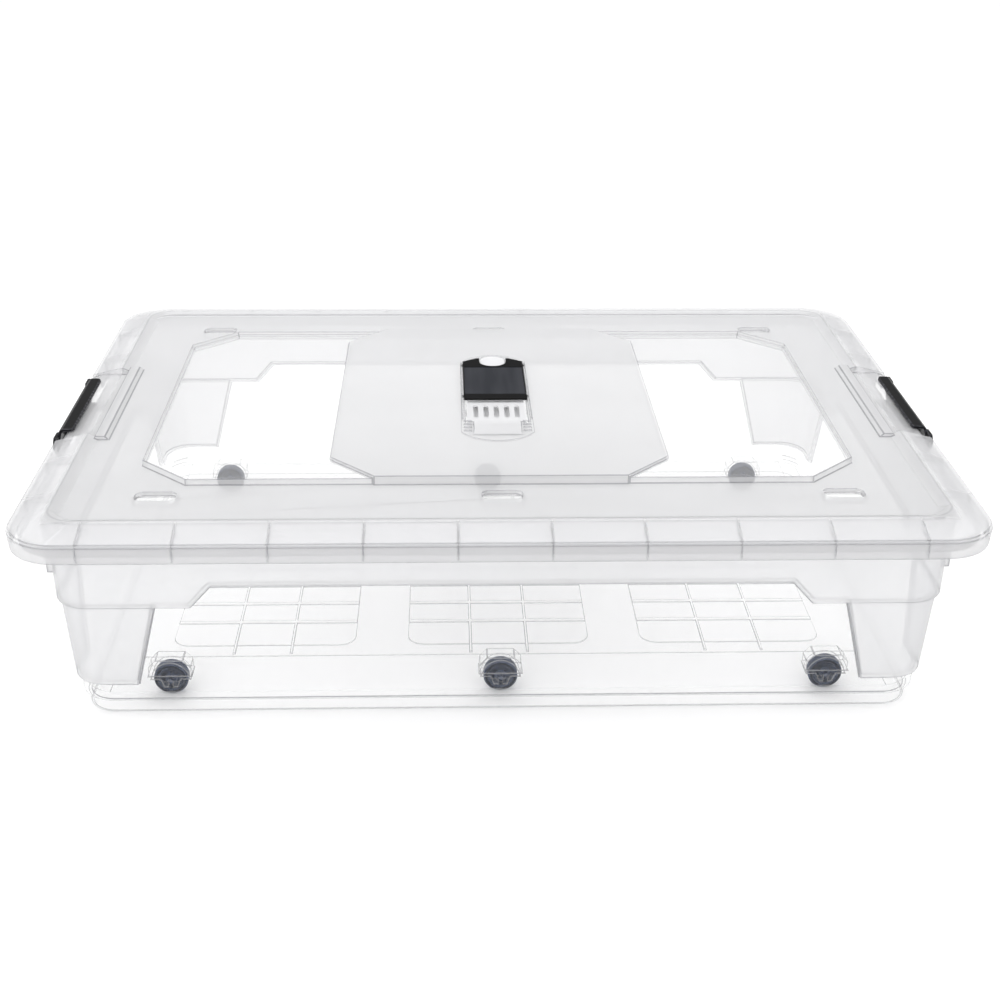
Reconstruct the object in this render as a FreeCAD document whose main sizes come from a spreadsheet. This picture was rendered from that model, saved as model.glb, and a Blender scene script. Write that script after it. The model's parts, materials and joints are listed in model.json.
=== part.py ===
import FreeCAD, Part
import math
import os
import re
import Sketcher
from FreeCAD import Placement, Rotation, Vector

# A wheeled under bed box: a clear tub and lid, two side clips, six small wheels
# and a vent insert with a sliding cover.
# Frame: origin on the floor under the middle, +X to the right along the long
# side, the front long side towards -Y, +Z up. Lengths are in millimetres.
# The tub is 2 * tubDifference longer than wide, the lid 2 * lidDifference.

SIZES = [
    # tub, half lengths along X at named heights
    ("wallThickness", 2.2), ("tubDifference", 108.0), ("tubCorner", 30.0),
    ("footHeight", 3.0), ("footHalf", 356.0), ("footTopHalf", 357.0), ("footCorner", 26.0),
    ("floorUnderside", 15.5), ("floorThickness", 2.5), ("baseHalf", 361.0),
    ("outerEdgeRadius", 4.0), ("floorFillet", 12.0),
    ("recessTopHeight", 138.0), ("recessTopHalf", 367.5),
    ("blockBottomHeight", 35.0), ("blockBottomHalf", 364.5), ("blockTopHalf", 369.0),
    ("stepHeight", 112.0), ("bandBottomHalf", 371.5), ("rimHeight", 183.0), ("rimHalf", 373.0),
    # outline of the recessed windows, distances from the middle of the long walls
    ("windowBottomHalf", 308.0), ("windowSideHalf", 287.0), ("windowShoulderHalf", 257.0),
    ("windowTopHalf", 239.0), ("windowTopHeight", 132.0),
    # rolled rim of the tub
    ("flangeHalf", 392.0), ("flangeCorner", 40.0), ("flangeThickness", 2.5),
    ("flangeLipHeight", 172.0), ("flangeNotchX", 383.0),
    ("gussetY", 232.0), ("gussetHeight", 130.0), ("gussetX", 378.5),
    # floor relief
    ("shelfStartY", 184.0), ("shelfEndY", 246.0), ("shelfHalfX", 335.0), ("shelfRise", 1.5),
    ("panelPitch", 212.0), ("panelHalfX", 82.0), ("panelHalfY", 165.0), ("panelCorner", 15.0),
    ("panelRise", 0.8), ("ribRise", 1.5), ("longRibHalfSpacing", 25.5), ("longRibHalfLength", 179.0),
    ("longRibWidth", 2.0), ("crossRibPitch", 35.3), ("crossRibWidth", 5.0),
    # wheels and their housings
    ("wheelX", 288.0), ("wheelY", 210.0), ("wheelRadius", 15.0), ("wheelWidth", 11.0),
    ("wheelEdge", 1.5), ("wheelDish", 1.6), ("wheelDishRadius", 11.5), ("wheelHubRadius", 4.5),
    ("axleRadius", 2.0), ("axleClearance", 0.05), ("axleHalfLength", 8.4),
    ("housingHalfX", 18.5), ("housingHalfY", 8.5), ("housingTop", 35.5), ("housingShoulder", 28.5),
    ("housingTopHalf", 12.0), ("pocketRadius", 17.0), ("pocketHalfY", 6.5),
    ("forkBottom", 8.0), ("forkBottomHalf", 6.0), ("forkTopHalf", 9.0), ("snapSlot", 3.4),
    # lid, half lengths along X
    ("lidDifference", 104.0), ("lidCorner", 45.0), ("skirtHeight", 169.0), ("skirtHalf", 399.0),
    ("lidHalf", 400.0), ("lidEdgeHeight", 184.0), ("shoulderHalf", 398.6), ("shoulderHeight", 186.2),
    ("ridgeOuterHalf", 371.5), ("ridgeInnerHalf", 368.5), ("ridgeHeight", 193.0), ("ridgeCorner", 25.0),
    ("panelEdgeHalf", 359.0), ("panelHeight", 189.0), ("panelEdgeCorner", 18.0),
    ("locatorHalf", 367.5), ("locatorBottom", 178.0), ("locatorTop", 191.2), ("locatorThickness", 2.0),
    ("webPitch", 75.0), ("webThickness", 1.6), ("sideWebNear", 131.0), ("sideWebFar", 209.0),
    # raised eight-sided fields of the lid
    ("fieldHalfX", 309.0), ("fieldCornerY", 148.5), ("fieldCornerX", 266.5), ("fieldHalfY", 189.0),
    ("fieldHeight", 195.0),
    ("centreHalfX", 147.0), ("centreCornerY", 150.0), ("centreCornerX", 108.0), ("centreHalfY", 190.0),
    ("centreHeight", 197.5), ("gateMarkX", 167.0), ("gateMarkRadius", 2.0), ("gateMarkRise", 0.5),
    # stacking pockets of the lid
    ("stackHalfX", 17.0), ("stackHalfY", 8.5), ("stackCorner", 6.0), ("stackDepth", 3.5),
    # clips and the place cut for them
    ("notchHalfLength", 84.0), ("notchInnerX", 362.0), ("notchHeight", 186.0), ("notchOuterX", 393.0),
    ("ledgeBevel", 1.5), ("jogToe", 349.0), ("jogRun", 3.5), ("jogHeight", 192.6), ("jogHalfLength", 90.0),
    ("hingeX", 388.5), ("hingeHeight", 171.0), ("knuckleRadius", 4.0), ("knuckleHalf", 33.5),
    ("earRadius", 4.2), ("earStart", 34.0), ("earThickness", 3.5), ("stubRadius", 2.0),
    ("clipPlateX", 399.5), ("clipThickness", 3.0), ("clipTop", 189.5), ("clipBottom", 160.0),
    ("clipWaist", 177.0), ("clipCrownX", 396.0), ("tongueTipX", 386.0), ("tongueHalf", 65.5),
    ("tongueRound", 5.0), ("clipBottomHalf", 64.0), ("wingInnerHalf", 60.0), ("wingHalf", 80.5),
    ("wingTop", 185.0), ("wingBottom", 175.0),
    # vent insert
    ("ventHalfX", 33.0), ("ventRearHalfX", 32.0), ("ventFrontY", 98.0), ("ventRearY", 80.0),
    ("ventFrontBulge", 20.0), ("ventRearBulge", 23.0), ("ventPlate", 1.6),
    ("openingHalfX", 28.4), ("openingHalfY", 73.4), ("panHalfX", 27.5), ("panHalfY", 72.0),
    ("panBottom", 184.0), ("panWall", 1.5), ("grilleRearY", 27.0),
    ("railInnerX", 30.3), ("railRise", 2.1), ("railFrontY", 70.0), ("railRearY", 78.0),
    ("grooveX", 31.8), ("grooveBottom", 0.6), ("grooveTop", 1.5),
    ("slotPitch", 9.6), ("slotHalfWidth", 2.0), ("slotFrontY", 64.0), ("slotRearY", 35.0),
    ("gripFirstY", 74.0), ("gripPitch", 7.4), ("gripWidth", 2.4), ("gripRise", 1.2),
    ("gripInnerX", 23.5), ("gripOuterX", 30.5), ("pushPadHalf", 21.5), ("pushPadFront", 103.0),
    ("dishHalfX", 12.5), ("dishHalfY", 17.0), ("dishY", 84.5), ("dishDepth", 0.9),
    ("barbY", 40.0), ("barbHalfLength", 5.0), ("barbX", 29.4),
    # sliding cover
    ("coverHalfX", 29.8), ("coverFrontY", 22.0), ("coverShoulderY", 80.0), ("coverRearY", 89.0),
    ("coverRearHalf", 16.0), ("coverNotchGap", 0.7), ("coverGap", 0.3), ("coverThickness", 1.5),
    ("coverPanelHalf", 28.8), ("coverPanelFront", 9.0), ("coverPanelRear", 64.0),
    ("coverPanelDepth", 0.5), ("tabX", 31.4), ("tabHalfLength", 2.5), ("tabFrontY", 14.0),
    ("tabRearY", 70.0),
]

doc = FreeCAD.newDocument("UnderBedBox")
sheet = doc.addObject("Spreadsheet::Sheet", "Sizes")
for row, (alias, amount) in enumerate(SIZES, start=1):
    sheet.set("A%d" % row, alias)
    sheet.set("B%d" % row, repr(amount))
    sheet.setAlias("B%d" % row, alias)
doc.recompute()

ALIASES = {alias for alias, amount in SIZES}


def formula(words):
    """Turn an expression in the sheet's aliases into one that FreeCAD can bind."""
    return re.sub("[A-Za-z]+", lambda word: add_sheet(word.group()), str(words))


def add_sheet(word):
    return "Sizes." + word if word in ALIASES else word


def value(words):
    return float(sheet.evalExpression(formula(words)))


def minus(words):
    return "-1 * ( %s )" % words


def bind(thing, name, words):
    thing.setExpression(name, formula(words))


def new_body(name):
    body = doc.addObject("PartDesign::Body", name)
    body.AllowCompound = True
    return body


def new_sketch(body, name, plane, offset):
    """A sketch on one of the body's own planes, moved along the plane's normal."""
    sketch = body.newObject("Sketcher::SketchObject", name)
    origin_plane = [item for item in body.Origin.OriginFeatures if item.Role == plane][0]
    sketch.AttachmentSupport = [(origin_plane, "")]
    sketch.MapMode = "FlatFace"
    bind(sketch, "AttachmentOffset.Base.z", offset)
    return sketch


def hold(sketch, kind, refs, words):
    """Add a dimension to a sketch and bind it to the sheet."""
    index = sketch.addConstraint(Sketcher.Constraint(kind, *refs, value(words)))
    label = "size%d" % index
    sketch.renameConstraint(index, label)
    bind(sketch, "Constraints." + label, words)


def polygon(body, name, plane, corners, offset="0"):
    """A closed outline of straight lines; each corner is a pair of expressions."""
    sketch = new_sketch(body, name, plane, offset)
    spots = [Vector(value(across), value(along), 0) for across, along in corners]
    count = len(spots)
    for index, spot in enumerate(spots):
        sketch.addGeometry(Part.LineSegment(spot, spots[(index + 1) % count]))
    for index in range(count):
        sketch.addConstraint(Sketcher.Constraint("Coincident", index, 2, (index + 1) % count, 1))
    for index, (across, along) in enumerate(corners):
        hold(sketch, "DistanceX", (-1, 1, index, 1), across)
        hold(sketch, "DistanceY", (-1, 1, index, 1), along)
    return sketch


def rounded_rectangle(body, name, half_x, half_y, corner, height, centre=("0", "0")):
    """A rounded rectangle on a level plane."""
    sketch = new_sketch(body, name, "XY_Plane", height)
    hx, hy, radius = value(half_x), value(half_y), value(corner)
    cx, cy = value(centre[0]), value(centre[1])
    sides = [((radius - hx, -hy), (hx - radius, -hy)), ((hx, radius - hy), (hx, hy - radius)),
             ((hx - radius, hy), (radius - hx, hy)), ((-hx, hy - radius), (-hx, radius - hy))]
    for (x0, y0), (x1, y1) in sides:
        sketch.addGeometry(Part.LineSegment(Vector(cx + x0, cy + y0, 0), Vector(cx + x1, cy + y1, 0)))
    for turn, (sx, sy) in enumerate([(1, -1), (1, 1), (-1, 1), (-1, -1)]):
        middle = Vector(cx + sx * (hx - radius), cy + sy * (hy - radius), 0)
        start = math.radians(90 * turn - 90)
        circle = Part.Circle(middle, Vector(0, 0, 1), radius)
        sketch.addGeometry(Part.ArcOfCircle(circle, start, start + math.pi / 2))
    for side in range(4):
        sketch.addConstraint(Sketcher.Constraint("Tangent", side, 2, 4 + side, 1))
        sketch.addConstraint(Sketcher.Constraint("Tangent", 4 + side, 2, (side + 1) % 4, 1))
        sketch.addConstraint(Sketcher.Constraint("Vertical" if side % 2 else "Horizontal", side))
    for side in range(1, 4):
        sketch.addConstraint(Sketcher.Constraint("Equal", 4, 4 + side))
    hold(sketch, "DistanceX", (-1, 1, 1, 1), "%s + %s" % (centre[0], half_x))
    hold(sketch, "DistanceX", (-1, 1, 3, 1), "%s - ( %s )" % (centre[0], half_x))
    hold(sketch, "DistanceY", (-1, 1, 2, 1), "%s + %s" % (centre[1], half_y))
    hold(sketch, "DistanceY", (-1, 1, 0, 1), "%s - ( %s )" % (centre[1], half_y))
    hold(sketch, "Radius", (4,), corner)
    return sketch


def extrude(body, kind, name, sketch, length, symmetric=False, reverse=False):
    """A Pad or a Pocket of a bound length."""
    feature = body.newObject("PartDesign::" + kind, name)
    feature.Profile = sketch
    feature.Midplane = symmetric
    feature.Reversed = reverse
    bind(feature, "Length", length)
    return feature


def loft(body, kind, name, levels, difference):
    """A ruled loft through rounded rectangles given as (half length, corner, height)."""
    sketches = []
    for index, (half, corner, height) in enumerate(levels):
        label = "%s_level%d" % (name, index)
        half_y = "%s - %s" % (half, difference)
        sketches.append(rounded_rectangle(body, label, half, half_y, corner, height))
    feature = body.newObject("PartDesign::" + kind, name)
    feature.Profile = sketches[0]
    feature.Sections = sketches[1:]
    feature.Ruled = True
    return feature


def box(name, across, along, upward):
    """A box between (low, high) pairs of expressions."""
    block = doc.addObject("Part::Box", name)
    for side, axis, (low, high) in zip(("Length", "Width", "Height"), "xyz", (across, along, upward)):
        bind(block, side, "%s - ( %s )" % (high, low))
        bind(block, "Placement.Base." + axis, low)
    return block


def rod(name, radius, x, y_range, z):
    """A cylinder lying along Y between (low, high)."""
    cylinder = doc.addObject("Part::Cylinder", name)
    cylinder.Placement = Placement(Vector(), Rotation(Vector(1, 0, 0), -90))
    bind(cylinder, "Radius", radius)
    bind(cylinder, "Height", "%s - ( %s )" % (y_range[1], y_range[0]))
    for axis, words in zip("xyz", (x, y_range[0], z)):
        bind(cylinder, "Placement.Base." + axis, words)
    return cylinder


def disc(name, radius, x, y, z_range):
    """An upright cylinder between (low, high)."""
    cylinder = doc.addObject("Part::Cylinder", name)
    bind(cylinder, "Radius", radius)
    bind(cylinder, "Height", "%s - ( %s )" % (z_range[1], z_range[0]))
    for axis, words in zip("xyz", (x, y, z_range[0])):
        bind(cylinder, "Placement.Base." + axis, words)
    return cylinder


def mirrored(pair, side):
    """A (low, high) pair on the right side, or its image on the left."""
    return pair if side > 0 else (minus(pair[1]), minus(pair[0]))


def signed(words, side):
    return words if side > 0 else minus(words)


def fuse(name, shapes):
    union = doc.addObject("Part::MultiFuse", name)
    union.Shapes = shapes
    return union


def cut(name, base, tools):
    difference = doc.addObject("Part::Cut", name)
    difference.Base = base
    difference.Tool = tools[0] if len(tools) == 1 else fuse(name + "_tools", tools)
    return difference


# ---------------------------------------------------------------- tub

def basin(name, inset, floor, edge_radius):
    """The tub as a filled form. The outer form has no inset, the inner one the wall's."""
    body = new_body(name)
    corner = "tubCorner - %s" % inset
    loft(body, "AdditiveLoft", name + "_blocks", [
        ("blockBottomHalf - %s" % inset, corner, "blockBottomHeight + %s" % inset),
        ("blockTopHalf - %s" % inset, corner, "stepHeight + %s" % inset)], "tubDifference")
    loft(body, "AdditiveLoft", name + "_band", [
        ("bandBottomHalf - %s" % inset, corner, "stepHeight + %s" % inset),
        ("rimHalf - %s" % inset, corner, "rimHeight + %s" % inset)], "tubDifference")
    for label, plane, shift in (("long", "XZ_Plane", "0"), ("short", "YZ_Plane", "tubDifference")):
        right = [("windowBottomHalf - %s + %s" % (shift, inset), "blockBottomHeight - 5"),
                 ("windowSideHalf - %s + %s" % (shift, inset), "stepHeight + %s" % inset),
                 ("windowShoulderHalf - %s + %s" % (shift, inset), "stepHeight + %s" % inset),
                 ("windowTopHalf - %s + %s" % (shift, inset), "windowTopHeight + %s" % inset)]
        left = [(minus(across), upward) for across, upward in reversed(right)]
        window = polygon(body, "%s_%s_outline" % (name, label), plane, right + left)
        extrude(body, "Pocket", "%s_%s_windows" % (name, label), window, "4 * rimHalf", symmetric=True)
    levels = []
    for degrees in (0, 30, 60, 90):
        inward = "%s * ( 1 - sin( %d deg ) )" % (edge_radius, degrees)
        upward = "%s * ( 1 - cos( %d deg ) )" % (edge_radius, degrees)
        levels.append(("baseHalf - %s - %s" % (inset, inward), "%s - %s / 2" % (corner, inward),
                       "%s + %s" % (floor, upward)))
    levels.append(("recessTopHalf - %s" % inset, corner, "recessTopHeight"))
    loft(body, "AdditiveLoft", name + "_recessed", levels, "tubDifference")
    return body


def foot_ring():
    body = new_body("foot_ring")
    top = "floorUnderside + 1"
    loft(body, "AdditiveLoft", "foot_outside", [
        ("footHalf", "footCorner", "footHeight"), ("footTopHalf", "footCorner", top)], "tubDifference")
    inner_corner = "footCorner - wallThickness"
    loft(body, "SubtractiveLoft", "foot_inside", [
        ("footHalf - wallThickness", inner_corner, "footHeight"),
        ("footTopHalf - wallThickness", inner_corner, top)], "tubDifference")
    return body


def rim_flange():
    """The rolled rim: a flat flange with a lip, cut back where the clips sit."""
    body = new_body("rim_flange")
    rise = "rimHeight - flangeLipHeight"
    outline = rounded_rectangle(body, "flange_outline", "flangeHalf", "flangeHalf - lidDifference",
                                "flangeCorner", "flangeLipHeight")
    extrude(body, "Pad", "flange_block", outline, rise)
    hollow = rounded_rectangle(body, "flange_hollow_outline", "flangeHalf - wallThickness",
                               "flangeHalf - wallThickness - lidDifference",
                               "flangeCorner - wallThickness", "flangeLipHeight")
    extrude(body, "Pocket", "flange_hollow", hollow, "%s - flangeThickness" % rise, reverse=True)
    mouth = rounded_rectangle(body, "flange_mouth_outline", "rimHalf - 1", "rimHalf - 1 - tubDifference",
                              "tubCorner - 1", "flangeLipHeight")
    extrude(body, "Pocket", "flange_mouth", mouth, rise, reverse=True)
    for side, label in ((1, "right"), (-1, "left")):
        inner, outer = mirrored(("flangeNotchX", "flangeHalf + 5"), side)
        corners = [(inner, "-1 * notchHalfLength"), (outer, "-1 * notchHalfLength"),
                   (outer, "notchHalfLength"), (inner, "notchHalfLength")]
        notch = polygon(body, "flange_notch_outline_" + label, "XY_Plane", corners, "flangeLipHeight")
        extrude(body, "Pocket", "flange_notch_" + label, notch, rise, reverse=True)
    return body


def floor_panel(name, centre_x):
    """One raised field of the floor with its two long and eight cross ribs."""
    body = new_body(name)
    floor = "floorUnderside + floorThickness"
    field = rounded_rectangle(body, name + "_outline", "panelHalfX", "panelHalfY", "panelCorner",
                              "%s - 1" % floor, centre=(centre_x, "0"))
    extrude(body, "Pad", name + "_field", field, "1 + panelRise")
    long_left = "%s - longRibHalfSpacing - longRibWidth / 2" % centre_x
    long_right = "%s - longRibHalfSpacing + longRibWidth / 2" % centre_x
    corners = [(long_left, "-1 * longRibHalfLength"), (long_right, "-1 * longRibHalfLength"),
               (long_right, "longRibHalfLength"), (long_left, "longRibHalfLength")]
    sketch = polygon(body, name + "_long_outline", "XY_Plane", corners, "%s - 1" % floor)
    long_rib = extrude(body, "Pad", name + "_long_rib", sketch, "1 + ribRise")
    repeat(body, name + "_long_ribs", long_rib, sketch, "H_Axis", 2, "2 * longRibHalfSpacing")
    low = "-3.5 * crossRibPitch - crossRibWidth / 2"
    high = "-3.5 * crossRibPitch + crossRibWidth / 2"
    left, right = "%s - panelHalfX" % centre_x, "%s + panelHalfX" % centre_x
    corners = [(left, low), (right, low), (right, high), (left, high)]
    sketch = polygon(body, name + "_cross_outline", "XY_Plane", corners, "%s - 1" % floor)
    cross_rib = extrude(body, "Pad", name + "_cross_rib", sketch, "1 + ribRise")
    repeat(body, name + "_cross_ribs", cross_rib, sketch, "V_Axis", 8, "7 * crossRibPitch")
    return body


def repeat(body, name, feature, sketch, axis, count, length):
    """Repeat a feature in a row along one of its sketch's axes."""
    pattern = body.newObject("PartDesign::LinearPattern", name)
    pattern.Originals = [feature]
    pattern.Direction = (sketch, [axis])
    pattern.Occurrences = count
    bind(pattern, "Length", length)
    body.Tip = pattern
    return pattern


def wheel_places():
    """Every wheel's name and the expressions of its place."""
    for row, y_sign in (("front", -1), ("rear", 1)):
        for label, x_factor in (("left", -1), ("middle", 0), ("right", 1)):
            yield "%s_%s" % (row, label), "%d * wheelX" % x_factor, "%d * wheelY" % y_sign


def wheel_housing(name, x, y):
    """The moulded arch over one wheel with its two fork cheeks, still filled."""
    body = new_body("housing_" + name)
    right = [("forkBottomHalf", "forkBottom"), ("forkTopHalf", "floorUnderside + 1"),
             ("housingHalfX", "floorUnderside + 1"), ("housingHalfX", "housingShoulder"),
             ("housingTopHalf", "housingTop")]
    right = [("%s + %s" % (x, across), upward) for across, upward in right]
    left = [("2 * ( %s ) - ( %s )" % (x, across), upward) for across, upward in reversed(right)]
    sketch = polygon(body, "housing_outline_" + name, "XZ_Plane", right + left, minus(y))
    extrude(body, "Pad", "housing_block_" + name, sketch, "2 * housingHalfY", symmetric=True)
    return body


def wheel_pocket(name, x, y):
    """The space for one wheel and the keyhole slots that its stubs snap into."""
    inside = ("%s - pocketHalfY" % y, "%s + pocketHalfY" % y)
    through = ("%s - housingHalfY - 1" % y, "%s + housingHalfY + 1" % y)
    axle_hole = "axleRadius + axleClearance"
    return [
        rod("arch_" + name, "pocketRadius", x, inside, "wheelRadius"),
        box("arch_mouth_" + name, ("%s - pocketRadius" % x, "%s + pocketRadius" % x), inside,
            ("0", "wheelRadius")),
        rod("axle_hole_" + name, axle_hole, x, through, "wheelRadius"),
        box("snap_slot_" + name, ("%s - snapSlot / 2" % x, "%s + snapSlot / 2" % x), through,
            ("0", "wheelRadius")),
    ]


def clip_ears(side, label):
    """The two ears on one short wall that carry a clip, and the gussets beside them."""
    pieces = []
    for row in (-1, 1):
        along = mirrored(("earStart", "earStart + earThickness"), row)
        tag = "%s_%s" % (label, "rear" if row > 0 else "front")
        pieces.append(box("ear_arm_" + tag, mirrored(("rimHalf - 1.5", "hingeX"), side), along,
                          ("hingeHeight - earRadius", "hingeHeight + earRadius")))
        pieces.append(rod("ear_eye_" + tag, "earRadius", signed("hingeX", side), along, "hingeHeight"))
        gusset_y = signed("gussetY", row)
        pieces.append(box("gusset_" + tag, mirrored(("rimHalf - 2", "gussetX"), side),
                          ("%s - wallThickness / 2" % gusset_y, "%s + wallThickness / 2" % gusset_y),
                          ("gussetHeight", "rimHeight - 1")))
    return pieces


def make_tub():
    outer = basin("tub_outside", "0", "floorUnderside", "outerEdgeRadius")
    inner = basin("tub_inside", "wallThickness", "floorUnderside + floorThickness", "floorFillet")
    pieces = [cut("tub_shell", outer, [inner]), foot_ring(), rim_flange()]
    floor = "floorUnderside + floorThickness"
    for row, label in ((-1, "front"), (1, "rear")):
        pieces.append(box("shelf_" + label, ("-1 * shelfHalfX", "shelfHalfX"),
                          mirrored(("shelfStartY", "shelfEndY"), row),
                          ("%s - 1" % floor, "%s + shelfRise" % floor)))
    for factor, label in ((-1, "left"), (0, "middle"), (1, "right")):
        pieces.append(floor_panel("floor_panel_" + label, "%d * panelPitch" % factor))
    cutters = []
    for name, x, y in wheel_places():
        pieces.append(wheel_housing(name, x, y))
        cutters += wheel_pocket(name, x, y)
    for side, label in ((1, "right"), (-1, "left")):
        pieces += clip_ears(side, label)
        cutters.append(rod("hinge_hole_" + label, "stubRadius + axleClearance", signed("hingeX", side),
                           ("-1 * earStart - earThickness - 1", "earStart + earThickness + 1"),
                           "hingeHeight"))
    tub = cut("tub", fuse("tub_filled", pieces), cutters)
    tub.Label = "tub"
    return tub


# ---------------------------------------------------------------- lid

def eight_sided(body, name, inset, half_x, corner_y, corner_x, half_y, top):
    """Raise one eight-sided field of the lid."""
    slant = "0.414 * %s" % inset
    quarter = [("%s - %s" % (half_x, inset), "%s - %s" % (corner_y, slant)),
               ("%s - %s" % (corner_x, slant), "%s - %s" % (half_y, inset))]
    corners = [(x, minus(y)) for x, y in reversed(quarter)] + quarter
    corners += [(minus(x), y) for x, y in reversed(quarter)]
    corners += [(minus(x), minus(y)) for x, y in quarter]
    base = "panelHeight - 4"
    sketch = polygon(body, name + "_outline", "XY_Plane", corners, base)
    extrude(body, "Pad", name, sketch, "%s - %s - ( %s )" % (top, inset, base))


def lid_form(name, inset):
    """The lid as a filled form. The outer form has no inset, the inner one the wall's."""
    body = new_body(name)
    corner = "lidCorner - %s" % inset
    ridge = "ridgeHeight - %s" % inset
    loft(body, "AdditiveLoft", name + "_rim", [
        ("skirtHalf - %s" % inset, corner, "skirtHeight - %s" % inset),
        ("lidHalf - %s" % inset, corner, "lidEdgeHeight - %s" % inset),
        ("shoulderHalf - %s" % inset, corner, "shoulderHeight - %s" % inset),
        ("ridgeOuterHalf - %s" % inset, "ridgeCorner", ridge)], "lidDifference")
    loft(body, "SubtractiveLoft", name + "_dish", [
        ("panelEdgeHalf + %s" % inset, "panelEdgeCorner", "panelHeight - %s" % inset),
        ("ridgeInnerHalf + %s" % inset, "ridgeCorner", ridge)], "lidDifference")
    ledge = "notchHeight - %s" % inset
    for side, label in ((1, "right"), (-1, "left")):
        inner, outer = mirrored(("notchInnerX - %s" % inset, "lidHalf + 10"), side)
        corners = [(inner, ledge), (outer, ledge), (outer, "ridgeHeight + 5"), (inner, "ridgeHeight + 5")]
        sketch = polygon(body, "%s_notch_outline_%s" % (name, label), "XZ_Plane", corners)
        extrude(body, "Pocket", "%s_notch_%s" % (name, label), sketch,
                "2 * ( notchHalfLength + %s )" % inset, symmetric=True)
        right = [("jogToe + %s" % inset, "panelHeight - 4"),
                 ("jogToe + %s" % inset, "panelHeight - %s" % inset),
                 ("jogToe + jogRun + 0.6 * %s" % inset, "jogHeight - %s" % inset),
                 ("notchInnerX - %s" % inset, "jogHeight - %s" % inset),
                 ("notchInnerX - %s" % inset, "panelHeight - 4")]
        corners = [(signed(across, side), upward) for across, upward in right]
        sketch = polygon(body, "%s_jog_outline_%s" % (name, label), "XZ_Plane", corners)
        extrude(body, "Pad", "%s_jog_%s" % (name, label), sketch, "2 * ( jogHalfLength - %s )" % inset,
                symmetric=True)
    eight_sided(body, name + "_field", inset, "fieldHalfX", "fieldCornerY", "fieldCornerX",
                "fieldHalfY", "fieldHeight")
    eight_sided(body, name + "_centre", inset, "centreHalfX", "centreCornerY", "centreCornerX",
                "centreHalfY", "centreHeight")
    return body


def clip_clearance(side, label):
    """The place of a clip above and outside its ledge, whose edge is bevelled."""
    body = new_body("clip_clearance_" + label)
    low, high = "skirtHeight - 10", "ridgeHeight + 5"
    right = [("notchOuterX", low), ("lidHalf + 10", low), ("lidHalf + 10", high), ("notchInnerX", high),
             ("notchInnerX", "notchHeight"), ("notchOuterX - ledgeBevel", "notchHeight"),
             ("notchOuterX", "notchHeight - ledgeBevel")]
    corners = [(signed(across, side), upward) for across, upward in right]
    sketch = polygon(body, "clip_clearance_outline_" + label, "XZ_Plane", corners)
    extrude(body, "Pad", "clip_clearance_block_" + label, sketch, "2 * notchHalfLength", symmetric=True)
    return body


def web_corners(difference):
    """The outline of a stiffening web that rests on the tub's flange, distances from the middle."""
    points = [("rimHalf - 1", "rimHeight"), ("rimHalf - 1", "ridgeHeight - 1.8"),
              ("skirtHalf - 3", "shoulderHeight + 0.1"), ("skirtHalf - 1", "skirtHeight + 3"),
              ("flangeHalf + 2", "skirtHeight + 3"), ("flangeHalf + 2", "rimHeight")]
    return [("%s - %s" % (across, difference), upward) for across, upward in points]


def long_side_webs():
    """Ten webs along the front and ten along the back."""
    body = new_body("long_side_webs")
    for row, label in ((-1, "front"), (1, "rear")):
        corners = [(signed(along, row), upward) for along, upward in web_corners("lidDifference")]
        sketch = polygon(body, "web_outline_" + label, "YZ_Plane", corners, "-4.5 * webPitch")
        web = extrude(body, "Pad", "web_" + label, sketch, "webThickness", symmetric=True)
        repeat(body, "webs_" + label, web, sketch, "N_Axis", 10, "9 * webPitch")
    return body


def short_side_webs():
    body = new_body("short_side_webs")
    for side, label in ((1, "right"), (-1, "left")):
        corners = [(signed(across, side), upward) for across, upward in web_corners("0")]
        for index, place in enumerate(("sideWebNear", "sideWebFar", "-1 * sideWebNear", "-1 * sideWebFar")):
            tag = "%s_%d" % (label, index)
            sketch = polygon(body, "side_web_outline_" + tag, "XZ_Plane", corners, place)
            extrude(body, "Pad", "side_web_" + tag, sketch, "webThickness", symmetric=True)
    return body


def locating_ring():
    """The ring under the lid that drops inside the tub's mouth."""
    body = new_body("locating_ring")
    height = "locatorTop - locatorBottom"
    outline = rounded_rectangle(body, "locator_outside", "locatorHalf", "locatorHalf - tubDifference",
                                "ridgeCorner", "locatorBottom")
    extrude(body, "Pad", "locator_block", outline, height)
    bore = rounded_rectangle(body, "locator_inside", "locatorHalf - locatorThickness",
                             "locatorHalf - locatorThickness - tubDifference",
                             "ridgeCorner - locatorThickness", "locatorBottom")
    extrude(body, "Pocket", "locator_bore", bore, height, reverse=True)
    return body


def stack_pocket(name, x, y, grow, bottom, top):
    """One stacking pocket, or the cup around it when it is grown by the wall."""
    body = new_body(name)
    sketch = rounded_rectangle(body, name + "_outline", "stackHalfX + %s" % grow,
                               "stackHalfY + %s" % grow, "stackCorner + %s" % grow, bottom,
                               centre=(x, y))
    extrude(body, "Pad", name + "_block", sketch, "%s - ( %s )" % (top, bottom))
    return body


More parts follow.
